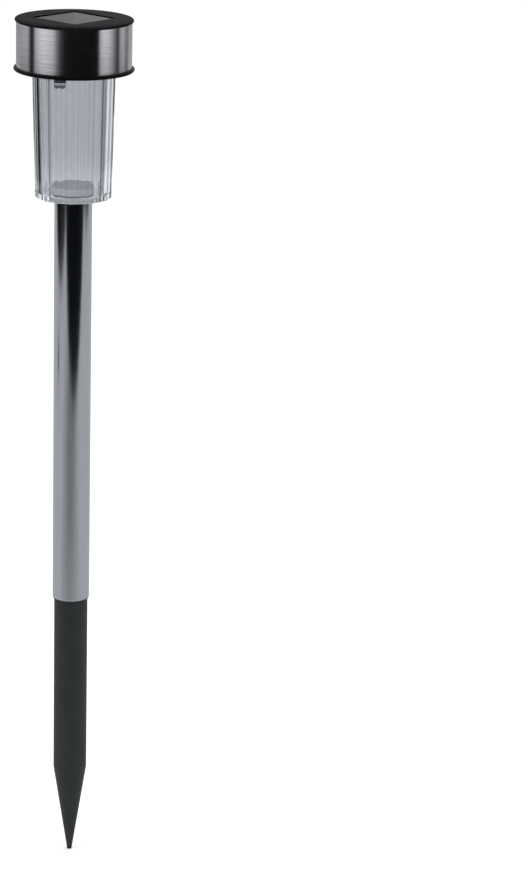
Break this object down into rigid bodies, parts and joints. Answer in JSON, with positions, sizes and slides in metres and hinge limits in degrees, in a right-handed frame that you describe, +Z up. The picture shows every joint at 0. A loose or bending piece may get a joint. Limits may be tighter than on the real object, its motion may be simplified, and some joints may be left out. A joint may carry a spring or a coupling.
{
  "type": "solar garden light",
  "caption": "Small solar stake light: square solar cell in a round steel-banded head, clear fluted tapered lens, steel tube and black plastic ground spike.",
  "frame": {"origin": "on the axis of the pole at ground level, where the spike's shaft starts under its stop collar", "axes": "+Z up along the pole; -Y faces the viewer, +X to the viewer's right; the square panel's corners point along X and Y"},
  "size_m": [0.0502, 0.0502, 0.3749],
  "materials": {
    "spike_plastic": "fine matt moulded texture",
    "pole_steel": "drawn stainless, fine polish along the tube",
    "ring_steel": "stainless strip, brushed round the ring",
    "lens_clear": "clear polished moulding",
    "seal_rubber": "soft, slightly dusty",
    "head_plastic": "satin moulded",
    "cap_plastic": "fine grained, satin",
    "panel_back": "black board",
    "silicon": "multicrystalline silicon with printed silver lines",
    "panel_resin": "clear cast resin",
    "battery_steel": "nickel plated",
    "battery_wrap": "shrunk plastic sleeve",
    "contact_metal": "nickel plated spring strip",
    "board_laminate": "solder mask over glass laminate",
    "chip_epoxy": "moulded epoxy",
    "choke_coat": "dipped lacquer",
    "led_epoxy": "clear cast epoxy",
    "tinned_steel": "tinned",
    "spacer_nylon": "black nylon",
    "switch_plastic": "moulded",
    "knob_plastic": "moulded",
    "wire_red": "insulation",
    "wire_black": "insulation",
    "wire_yellow": "insulation",
    "screw_steel": "zinc plated"
  },
  "bodies": {
    "spike": {"ground_spike": "spike_plastic"},
    "pole": {"pole_tube": "pole_steel"},
    "lens": {"lens": "lens_clear"},
    "seal": {"lens_seal": "seal_rubber"},
    "head": {"head_base": "head_plastic", "steel_ring": "ring_steel", "top_cap": "cap_plastic", "panel_backing": "panel_back", "solar_cell": "silicon", "cell_window": "panel_resin", "battery_can": "battery_steel", "battery_sleeve": "battery_wrap", "positive_contact": "contact_metal", "negative_contact": "contact_metal", "circuit_board": "board_laminate", "driver_chip": "chip_epoxy", "inductor": "choke_coat", "led_dome": "led_epoxy", "led_legs": "tinned_steel", "led_spacer": "spacer_nylon", "switch_case": "switch_plastic", "panel_wires": "wire_red", "battery_wires": "wire_black", "switch_wires": "wire_yellow", "case_screws": "screw_steel"},
    "switch": {"switch_knob": "knob_plastic"}
  },
  "joints": [
    {"name": "pole_pull", "type": "slide", "parent": "spike", "child": "pole", "axis": [0, 0, 1], "range_m": [0, 0.035]},
    {"name": "lens_pull", "type": "slide", "parent": "pole", "child": "lens", "axis": [0, 0, 1], "range_m": [0, 0.03]},
    {"name": "head_lift", "type": "slide", "parent": "lens", "child": "seal", "axis": [0, 0, 1], "range_m": [0, 0.03]},
    {"name": "head_twist", "type": "hinge", "parent": "seal", "child": "head", "pos_m": [0, 0, 0.2368], "axis": [0, 0, -1], "range_deg": [0, 25]},
    {"name": "switch_slide", "type": "slide", "parent": "head", "child": "switch", "axis": [0.7071, -0.7071, 0], "range_m": [0, 0.002]}
  ]
}
